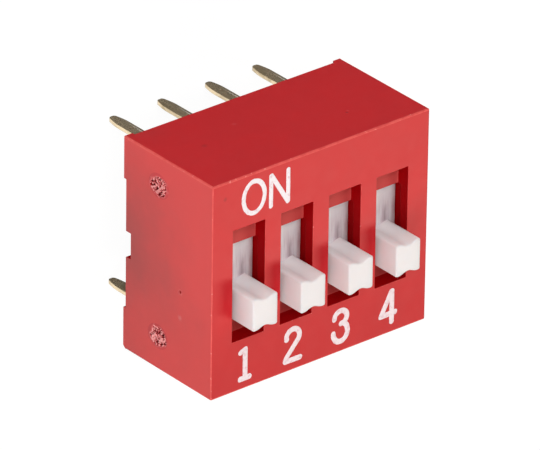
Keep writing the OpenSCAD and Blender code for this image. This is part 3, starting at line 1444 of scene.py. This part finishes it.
GLYPHS = {
    "O": glyph(oval((0.0, 0.71), (0.55, 0.725), steps=48), closed=True),
    "N": glyph([(-0.44, 0.0), (-0.44, 1.39)], [(-0.42, 1.39), (0.45, -0.04)], [(0.46, -0.04), (0.46, 1.40)]),
    "1": glyph([(-0.01, 1.34), (-0.01, 0.0)], [(-0.27, 0.0), (0.21, 0.0)], [(-0.03, 1.33), (-0.25, 1.25)]),
    "2": glyph(arc((-0.02, 1.09), (0.345, 0.345), 190, -32) + [(-0.36, 0.18), (-0.41, 0.03)],
               [(-0.41, 0.01), (0.36, 0.0)]),
    "3": glyph(arc((-0.01, 1.13), (0.335, 0.31), 182, -62) + [(0.02, 0.83)],
               arc((-0.01, 0.43), (0.38, 0.43), 62, -184)),
    "4": glyph([(0.22, 1.45), (0.22, 0.02)], [(0.18, 1.44), (-0.36, 0.43)], [(-0.36, 0.40), (0.39, 0.42)]),
}


@dataclass
class Legend:
    """The printed signs on the actuator face: a number at each slot's foot, and ON at the far end.

    Attributes:
        number_pen: the width of the numbers' strokes.
        word_pen: the width of the strokes of ON.
        ink: how thick the ink is.
        ragged: how far the ink's edge wanders.
        number_foot: the numbers' foot line, on the face.
        number_shift: how far the numbers stand from their slot's middle line.
        word_foot: the foot line of ON.
        word_places: the middle of each of its letters, from the middle line of slot 1.
    """

    number_pen: float = 0.26
    word_pen: float = 0.215
    ink: float = 0.010
    ragged: float = 0.05
    number_foot: float = -4.455
    number_shift: float = -0.12
    word_foot: float = 3.125
    word_places: tuple[float, float] = (0.23, 1.56)

    def recipe(self, pen: float, face: float) -> Recipe:
        """Builds the tree that draws a round pen along every path and presses it flat on the face.

        Args:
            pen: the stroke's width in millimetres.
            face: the height of the face in millimetres.

        Returns:
            The tree.
        """
        tree = Recipe("pen_stroke", Radius=pen / 2 * MM, Face=face * MM, Flatness=self.ink / (pen / 2),
                      Ragged=self.ragged * MM, Material=INK.material())
        paths = tree.add("GeometryNodeMeshToCurve", {"Mesh": tree.entry["Geometry"]}).outputs[0]
        radius = tree.entry["Radius"]
        nib = tree.add("GeometryNodeCurvePrimitiveCircle", {"Resolution": 16, "Radius": radius}).outputs[0]
        stroke = {"Curve": paths, "Profile Curve": nib, "Fill Caps": True}
        line = tree.add("GeometryNodeCurveToMesh", stroke).outputs[0]
        blunt = {"Segments": 24, "Rings": 12, "Radius": radius}
        ball = tree.add("GeometryNodeMeshUVSphere", blunt).outputs[0]
        ends = tree.add("GeometryNodeCurveEndpointSelection").outputs[0]
        capped = {"Points": paths, "Selection": ends, "Instance": ball}
        dots = tree.add("GeometryNodeInstanceOnPoints", capped).outputs[0]
        both = tree.add("GeometryNodeJoinGeometry")
        for part in (line, tree.add("GeometryNodeRealizeInstances", {"Geometry": dots}).outputs[0]):
            tree.feed(both.inputs[0], part)
        spot = tree.split(tree.position())
        rise = tree.times(tree.minus(spot[2], tree.entry["Face"]), tree.entry["Flatness"])
        at = tree.position_mm()
        spread = []
        for k in (0, 1):
            wander = tree.minus(tree.noise(at, 5.0, detail=2.0, seed=float(k)), 0.5)
            spread.append(tree.plus(spot[k], tree.times(tree.entry["Ragged"], wander)))
        pressed = tree.vector(X=spread[0], Y=spread[1], Z=tree.plus(tree.entry["Face"], rise))
        tree.finish(tree.moved(both.outputs[0], Position=pressed))
        return tree

    @staticmethod
    def paths(signs: list[tuple[str, float, float]], face: float) -> bpy.types.Mesh:
        """Lays the signs' pen paths out on the face.

        Args:
            signs: each sign's character and the middle of its foot, in millimetres.
            face: the height of the face in millimetres.

        Returns:
            A mesh of edges only.
        """
        strokes = [([(x + px, y + py) for px, py in stroke], GLYPHS[character].closed)
                   for character, x, y in signs for stroke in GLYPHS[character].strokes]
        return traced("pen_paths", strokes, face)

    def build(self) -> list[bpy.types.Object]:
        """Prints the word and the numbers.

        Returns:
            The two pieces of ink.
        """
        face = box_mm("cover")[1].z
        middles = [plan_of(*box_mm(f"slider_{n}"))[0][0] for n in POSITIONS]
        word = [(c, middles[0] + dx, self.word_foot) for c, dx in zip("ON", self.word_places)]
        numbers = [(str(n), x + self.number_shift, self.number_foot) for n, x in zip(POSITIONS, middles)]
        prints = (("legend_on", self.word_pen, word), ("legend_numbers", self.number_pen, numbers))
        printed = []
        for name, pen, signs in prints:
            ink = self.recipe(pen, face).make(name, self.paths(signs, face))
            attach(ink, HOUSING)
            printed.append(ink)
            log.info("%s: %d faces", name, len(ink.data.polygons))
        return printed


@dataclass
class Terminals:
    """The eight stamped terminals, with the soft edges that stamping and plating leave.

    Attributes:
        edge_round: the radius of their edges.
        segments: how many steps round each edge.
    """

    edge_round: float = 0.035
    segments: int = 3

    def build(self) -> list[bpy.types.Object]:
        """Rounds every terminal.

        Returns:
            The finished terminals, each of which replaces its CAD node.
        """
        gold = GOLD_PIN.material()
        made = []
        for row in Row:
            for n in POSITIONS:
                node = f"terminal_{row.value}_{n}"
                pin = rounded(f"pin_{row.value}_{n}", whole_copy(node), self.edge_round, self.segments,
                              by_weight=False)
                dress(pin, gold)
                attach(pin, HOUSING)
                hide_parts(node)
                made.append(pin)
        log.info("terminals: %d", len(made))
        return made


@dataclass
class ResinSkin:
    """The cured face of the seal, which climbs a little at the walls and round each pin.

    Attributes:
        climb: how far the resin climbs.
        reach: how far out from a wall or pin the climb fades.
        fade: how quickly it fades over that reach.
        ripple: how far the slow ripples rise, as a share of the climb.
        ripple_scale: how many ripples there are in a millimetre.
        clearance: how far the skin lies below the CAD face.
        steps: how many points the skin has each way.
    """

    climb: float = 0.09
    reach: float = 0.22
    fade: float = 2.2
    ripple: float = 0.25
    ripple_scale: float = 0.35
    clearance: float = 0.004
    steps: int = 150

    def shores(self) -> bpy.types.Mesh:
        """The outlines that the resin climbs: the cavity's walls and the eight pins.

        Returns:
            A mesh of edges, level with the seal's face.
        """
        low, high = box_mm("seal")
        banks = [(low, high)] + [self.pin_box(row, n) for row in Row for n in POSITIONS]
        outlines = [(rectangle(*plan_of(*bank)), True) for bank in banks]
        return traced("resin_shores", outlines, low.z - self.clearance)

    @staticmethod
    def pin_box(row: Row, position: int) -> tuple[Vector, Vector]:
        """The box of a terminal's straight pin below the cover.

        Args:
            row: which row it stands in.
            position: its number in the row.

        Returns:
            Its lowest and highest corner in millimetres.
        """
        spots = [v.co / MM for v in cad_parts[f"terminal_{row.value}_{position}"].data.vertices]
        below = [p for p in spots if p.z < 0.0]
        low, high = (Vector([pick(p[k] for p in below) for k in range(3)]) for pick in (min, max))
        return low, high

    def recipe(self) -> Recipe:
        """Builds the tree that floats a sheet over the seal and pulls it up at its shores.

        Returns:
            The tree.
        """
        low, high = box_mm("seal")
        tree = Recipe("resin_skin", Length=(high.x - low.x) * MM, Width=(high.y - low.y) * MM,
                      Level=(low.z - self.clearance) * MM, Climb=self.climb * MM, Reach=self.reach * MM,
                      Steps=self.steps, Seed=5.0, Material=RESIN.material())
        down = tree.add("GeometryNodeFlipFaces", {"Mesh": tree.grid("Length", "Width")}).outputs[0]
        floated = tree.moved(down, Offset=tree.vector(Z=tree.entry["Level"]))
        shore = tree.add("GeometryNodeProximity", {0: tree.entry["Geometry"]}, target_element="EDGES")
        near = tree.math("DIVIDE", shore.outputs["Distance"], tree.entry["Reach"])
        fade = tree.math("EXPONENT", tree.times(near, -self.fade))
        slow = tree.noise(tree.position_mm(), self.ripple_scale, detail=1.0, seed=tree.entry["Seed"])
        climb = tree.times(tree.plus(fade, tree.times(slow, self.ripple)), tree.entry["Climb"])
        tree.finish(tree.moved(floated, Offset=tree.vector(Z=tree.times(climb, -1.0))))
        return tree

    def build(self) -> bpy.types.Object:
        """Makes the skin and gives the seal and the base beneath it their own finishes.

        Returns:
            The skin.
        """
        skin = self.recipe().make("resin_skin", self.shores())
        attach(skin, HOUSING)
        dress(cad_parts["seal"], skin.data.materials[0])
        dress(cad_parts["base"], RED_MATT.material())
        log.info("resin skin: %d faces", len(skin.data.polygons))
        return skin


# ---------------------------------------------------------------- moving pieces


@dataclass
class Slider:
    """One white slider: a plate that runs in the track, the knob on it, and the boss and stake below.

    Attributes:
        position: its number in the row.
        plate_top: the height of the plate's top above the seating plane.
        plate_thick: the plate's thickness.
        knob_side: how much narrower the knob is than the plate, on each side.
        knob_length: the knob's length along its travel.
        scoop_reach: half the width of the hollow in each end of the knob.
        scoop_depth: its depth.
        corner_round: the radius of the knob's upright corners.
        top_round: the radius of the edge round its top.
        fillet: the radius where it meets the plate.
        plate_round: the radius of the plate's edges.
        boss_side: how much narrower the boss is than the plate, on each side.
        boss_length: the length of the boss.
        boss_bottom: the height of its underside.
        stake_radius: the radius of the stake under it.
        head_radius: the radius of the stake's formed head.
        head_thick: the thickness of that head.
        stake_steps: how many steps there are round the stake and its head.
        round_steps: how many steps round the knob's foot and its top edge.
        corner_steps: how many steps round each of its upright corners.
        scoop_steps: how many steps across each of its ends.
    """

    position: int
    plate_top: float = 4.80
    plate_thick: float = 0.80
    knob_side: float = 0.37
    knob_length: float = 1.48
    scoop_reach: float = 0.50
    scoop_depth: float = 0.13
    corner_round: float = 0.10
    top_round: float = 0.08
    fillet: float = 0.06
    plate_round: float = 0.04
    boss_side: float = 0.40
    boss_length: float = 1.06
    boss_bottom: float = 2.95
    stake_radius: float = 0.20
    head_radius: float = 0.31
    head_thick: float = 0.13
    stake_steps: int = 32
    round_steps: int = 5
    corner_steps: int = 6
    scoop_steps: int = 32

    def knob_plan(self, width: float) -> list[Point2]:
        """The knob's outline: a rectangle with round corners and a scoop for a tool's tip in each end.

        Args:
            width: its size along X.

        Returns:
            The outline round its own middle, anticlockwise.
        """
        turn = (self.corner_round, self.corner_round)
        flat, rise = width / 2 - self.corner_round, self.knob_length / 2 - self.corner_round
        end = self.knob_length / 2
        outline: list[Point2] = []
        for flip in (1, -1):
            first = 90 - 90 * flip
            outline += arc((flip * flat, flip * rise), turn, first, first + 90, self.corner_steps)
            for k in range(1, self.scoop_steps):
                x = flat * (1 - 2 * k / self.scoop_steps)
                dip = self.scoop_depth * (1 + math.cos(math.pi * x / self.scoop_reach)) / 2
                outline.append((flip * x, flip * (end - (dip if abs(x) < self.scoop_reach else 0.0))))
            outline += arc((-flip * flat, flip * rise), turn, first + 90, first + 180, self.corner_steps)
        return outline

    def knob(self, centre: Point2, width: float, top: float) -> bmesh.types.BMesh:
        """Lofts the knob up through its outline, with a fillet at its foot and a round top edge.

        Args:
            centre: its middle.
            width: its size along X.
            top: the height of its top.

        Returns:
            The knob as one closed shape.
        """
        outline = self.knob_plan(width)
        normals = []
        for before, after in zip([outline[-1], *outline], [*outline[1:], outline[0]]):
            run = (Vector(after) - Vector(before)).normalized()
            normals.append((run.y, -run.x))
        quarter = [math.radians(90 * k / self.round_steps) for k in range(self.round_steps + 1)]
        levels = [(self.plate_top - self.plate_thick / 2, self.fillet)]
        for a in quarter:
            levels.append((self.plate_top + self.fillet * (1 - math.cos(a)), self.fillet * (1 - math.sin(a))))
        for a in quarter:
            levels.append((top - self.top_round * (1 - math.sin(a)), -self.top_round * (1 - math.cos(a))))
        shape = bmesh.new()
        loft(shape, [[(centre[0] + x + grow * nx, centre[1] + y + grow * ny, z)
                      for (x, y), (nx, ny) in zip(outline, normals)] for z, grow in levels])
        return shape

    def foot(self, centre: Point2, width: float, bottom: float) -> list[bmesh.types.BMesh]:
        """Makes the boss, the stake through the contact strip and the stake's head.

        Args:
            centre: the slider's middle.
            width: the boss's size along X.
            bottom: the height of the head's underside.

        Returns:
            The three closed shapes.
        """
        inside = self.plate_top - self.plate_thick / 2
        stake, head = (oval(centre, (radius, radius), self.stake_steps)
                       for radius in (self.stake_radius, self.head_radius))
        return [
            prism(rectangle(centre, width, self.boss_length), self.boss_bottom, inside),
            prism(stake, bottom, inside),
            prism(head, bottom, bottom + self.head_thick),
        ]

    def build(self, white: bpy.types.Material) -> bpy.types.Object:
        """Moulds the slider.

        Args:
            white: its material.

        Returns:
            The finished slider, which replaces its CAD node.
        """
        node = f"slider_{self.position}"
        low, high = box_mm(node)
        centre, width, length = plan_of(low, high)
        plate = prism(rectangle(centre, width, length), self.plate_top - self.plate_thick, self.plate_top)
        slider = rounded(f"slide_knob_{self.position}", plate, self.plate_round, 2, by_weight=False)
        for shape in [self.knob(centre, width - 2 * self.knob_side, high.z),
                      *self.foot(centre, width - 2 * self.boss_side, low.z)]:
            combine(slider, shape, Join.FUSE)
        even_out(slider)
        local = slider.data.attributes.new("local", "FLOAT_VECTOR", "POINT")
        for spot, vertex in zip(local.data, slider.data.vertices):
            spot.vector = vertex.co / MM - Vector((*centre, 0.0))
        dress(slider, white)
        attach(slider, f"switch_{self.position}")
        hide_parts(node)
        log.info("slider %d: %d faces", self.position, len(slider.data.polygons))
        return slider


@dataclass
class SlideBank:
    """The four sliders with the sprung contact strips that they carry."""

    def build(self) -> list[bpy.types.Object]:
        """Moulds the sliders and dresses the strips.

        Returns:
            The four sliders.
        """
        white = WHITE.material()
        spring = GOLD_SPRING.material()
        for n in POSITIONS:
            dress(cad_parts[f"contact_{n}"], spring)
        return [Slider(n).build(white) for n in POSITIONS]


# ---------------------------------------------------------------- studio


def stood(name: str, data: bpy.types.ID, right: Vector, back: Vector, place: Vector) -> bpy.types.Object:
    """Stands a lamp or a camera up.

    Args:
        name: its name.
        data: the lamp or the camera.
        right: the direction that its own X axis points in.
        back: the direction that it faces away from.
        place: where it stands, in metres.

    Returns:
        The lamp's or the camera's object.
    """
    thing = placed(name, data)
    axes = Matrix((right, back.cross(right), back)).transposed()
    thing.matrix_world = Matrix.Translation(place) @ axes.to_4x4()
    return thing


@dataclass(frozen=True)
class Softbox:
    """A soft lamp that faces the object.

    Attributes:
        name: its name.
        towards: the direction from the object to the lamp.
        distance: how far it stands, in metres.
        size: its side along the row of switches, in metres.
        light: the share of plain light that it gives a surface that faces it.
        height: its other side as a share of the first.
        tint: its colour.
    """

    name: str
    towards: Point3
    distance: float
    size: float
    light: float
    height: float = 1.0
    tint: Colour = PURE_WHITE

    def hang(self, aim: Vector) -> bpy.types.Object:
        """Sets the lamp up.

        Args:
            aim: the point that it lights.

        Returns:
            The lamp.
        """
        lamp = bpy.data.lights.new(self.name, "AREA")
        lamp.shape = "RECTANGLE"
        lamp.size = self.size
        lamp.size_y = self.size * self.height
        lamp.energy = self.light * math.pi**2 * self.distance**2
        lamp.color = self.tint
        away = Vector(self.towards).normalized()
        along = (Vector((1.0, 0.0, 0.0)) - away * away.x).normalized()
        return stood(self.name, lamp, along, away, aim + away * self.distance)


@dataclass
class Studio:
    """The camera, a pale floor under the pin tips, and soft lamps.

    Attributes:
        azimuth: the camera's direction round the object, in degrees: 0 looks along +Y, 90 along -X.
        elevation: its height above the horizon, in degrees.
        roll: how far it is rolled from +Y upright, in degrees.
        distance: how far it stands from its aim, in metres.
        lens: its focal length in millimetres.
        aim: the point that it looks at, in millimetres.
        lamps: the soft lamps.
        ambient: the room's plain light.
        gloss: the room's brightness in gloss.
        dark_gloss: its brightness in gloss near the first direction below.
        bright_gloss: what the lobe round the second direction adds to it.
        dark_side: the first direction.
        bright_side: the second direction.
        floor_half: half the floor's side, in metres.
        floor_white: the floor's colour where light falls on it.
        floor_shine: the strength at which it shows white to the eye.
        floor_glow: the share of that in what is seen of it; the rest keeps the object's shadow.
    """

    azimuth: float = 230.135
    elevation: float = 42.880
    roll: float = 0.830
    distance: float = 0.356196
    lens: float = 572.80
    aim: Point3 = (0.262, -0.230, 2.186)
    lamps: tuple[Softbox, ...] = (
        Softbox("glare_box", (0.82, -0.65, 1.00), 0.40, 0.18, 0.335, height=0.44, tint=(1.0, 0.98, 0.84)),
        Softbox("key_box", (-0.60, -0.50, 0.60), 0.45, 0.26, 0.42),
        Softbox("front_box", (-0.40, 0.50, 0.77), 0.45, 0.26, 0.60),
        Softbox("side_box", (0.10, 0.85, 0.50), 0.45, 0.26, 0.18),
        Softbox("end_box", (-0.90, -0.20, 0.30), 0.45, 0.26, 0.04),
        Softbox("rim_box", (0.60, 0.60, 0.50), 0.45, 0.26, 0.05),
    )
    ambient: float = 0.01
    gloss: float = 0.03
    dark_gloss: float = 0.12
    bright_gloss: float = 1.0
    dark_side: Point3 = (0.5625, 0.4697, -0.6805)
    bright_side: Point3 = (-0.5625, -0.4697, -0.6805)
    floor_half: float = 3.0
    floor_white: float = 0.80
    floor_shine: float = 1.06
    floor_glow: float = 0.90

    def camera(self) -> None:
        """Sets up the camera, which holds the ON side upwards."""
        a, e = math.radians(self.azimuth), math.radians(self.elevation)
        back = Vector((math.sin(a) * math.cos(e), -math.cos(a) * math.cos(e), math.sin(e)))
        right = Vector((0.0, 1.0, 0.0)).cross(back).normalized()
        up = back.cross(right)
        turn = math.radians(self.roll)
        rolled = right * math.cos(turn) + up * math.sin(turn)
        lens = bpy.data.cameras.new("camera")
        lens.lens = self.lens
        lens.sensor_width = SENSOR
        lens.clip_start = 0.01
        lens.clip_end = 20.0
        place = Vector(self.aim) * MM + back * self.distance
        bpy.context.scene.camera = stood("camera", lens, rolled, back, place)

    def floor(self) -> None:
        """Lays the floor under the pin tips: white to the eye, with the object's shadow kept on it."""
        level = min(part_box(f"terminal_{row.value}_{n}")[0].z for row in Row for n in POSITIONS)
        side = 2 * self.floor_half
        mesh = bpy.data.meshes.new("floor")
        mesh.from_pydata([(x, y, level) for x, y in rectangle((0.0, 0.0), side, side)], [], [(0, 1, 2, 3)])
        floor = placed("floor", mesh)
        material = bpy.data.materials.new("pale_floor")
        material.use_nodes = True
        graph = Graph(material.node_tree)
        graph.tree.nodes.clear()
        paint = graph.add("ShaderNodeBsdfDiffuse", {"Color": (self.floor_white,) * 3}).outputs[0]
        shine = {"Color": PURE_WHITE, "Strength": self.floor_shine}
        glow = graph.add("ShaderNodeEmission", shine).outputs[0]
        rays = graph.add("ShaderNodeLightPath").outputs
        mirrored = graph.math("MAXIMUM", rays["Is Glossy Ray"], rays["Is Transmission Ray"])
        seen = graph.math("MAXIMUM", rays["Is Camera Ray"], mirrored)
        mix = graph.add("ShaderNodeMixShader", {0: graph.times(seen, self.floor_glow), 1: paint, 2: glow})
        beneath = graph.times(rays["Is Camera Ray"], graph.add("ShaderNodeNewGeometry").outputs["Backfacing"])
        clear = graph.add("ShaderNodeBsdfTransparent").outputs[0]
        shown = graph.add("ShaderNodeMixShader", {0: beneath, 1: mix.outputs[0], 2: clear})
        graph.add("ShaderNodeOutputMaterial", {"Surface": shown.outputs[0]})
        dress(floor, material)
        floor.visible_glossy = False
        floor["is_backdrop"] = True

    @staticmethod
    def nearness(graph: Graph, towards: Point3) -> Socket:
        """The cosine of the angle between a ray that leaves the scene and a direction.

        Args:
            graph: the world's tree.
            towards: the direction.

        Returns:
            The cosine's socket.
        """
        way = graph.add("ShaderNodeTexCoord").outputs["Generated"]
        unit = tuple(Vector(towards).normalized())
        return graph.add("ShaderNodeVectorMath", {0: way, 1: unit}, operation="DOT_PRODUCT").outputs["Value"]

    def surround(self) -> None:
        """Lights the room evenly. It is white to the eye; in gloss it is dark, with one bright side."""
        world = bpy.data.worlds.new("studio")
        bpy.context.scene.world = world
        world.use_nodes = True
        graph = Graph(world.node_tree)
        graph.tree.nodes.clear()
        rays = graph.add("ShaderNodeLightPath").outputs
        plain = graph.ramp(self.nearness(graph, self.dark_side), 0.45, 0.80, self.gloss, self.dark_gloss)
        lobe = graph.ramp(self.nearness(graph, self.bright_side), 0.50, 0.90, 0.0, self.bright_gloss)
        mirrored = graph.plus(plain, lobe)
        gloss = graph.math("MAXIMUM", rays["Is Glossy Ray"], rays["Is Transmission Ray"])
        even = graph.times(graph.minus(1.0, gloss), self.ambient)
        unseen = graph.plus(graph.times(gloss, mirrored), even)
        shown = graph.math("MAXIMUM", rays["Is Camera Ray"], unseen)
        light = graph.add("ShaderNodeBackground", {"Color": PURE_WHITE, "Strength": shown}).outputs[0]
        graph.add("ShaderNodeOutputWorld", {"Surface": light})

    def build(self) -> None:
        """Sets up the whole studio."""
        self.camera()
        self.floor()
        self.surround()
        for softbox in self.lamps:
            softbox.hang(Vector(self.aim) * MM)
        view = bpy.context.scene.view_settings
        view.view_transform = "Standard"
        log.info("studio: %d lamps", len(self.lamps))


def corners() -> list[list[float]]:
    """The shown object's lowest and highest corner as plain lists."""
    return [list(corner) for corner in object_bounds()]


def main() -> None:
    """Builds every sub-assembly in order."""
    logging.basicConfig(level=logging.INFO, format="%(name)s: %(message)s")
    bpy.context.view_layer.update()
    Studio().build()
    Cover().build()
    GateScars().build()
    Legend().build()
    Terminals().build()
    ResinSkin().build()
    SlideBank().build()


if __name__ == "__main__":
    main()
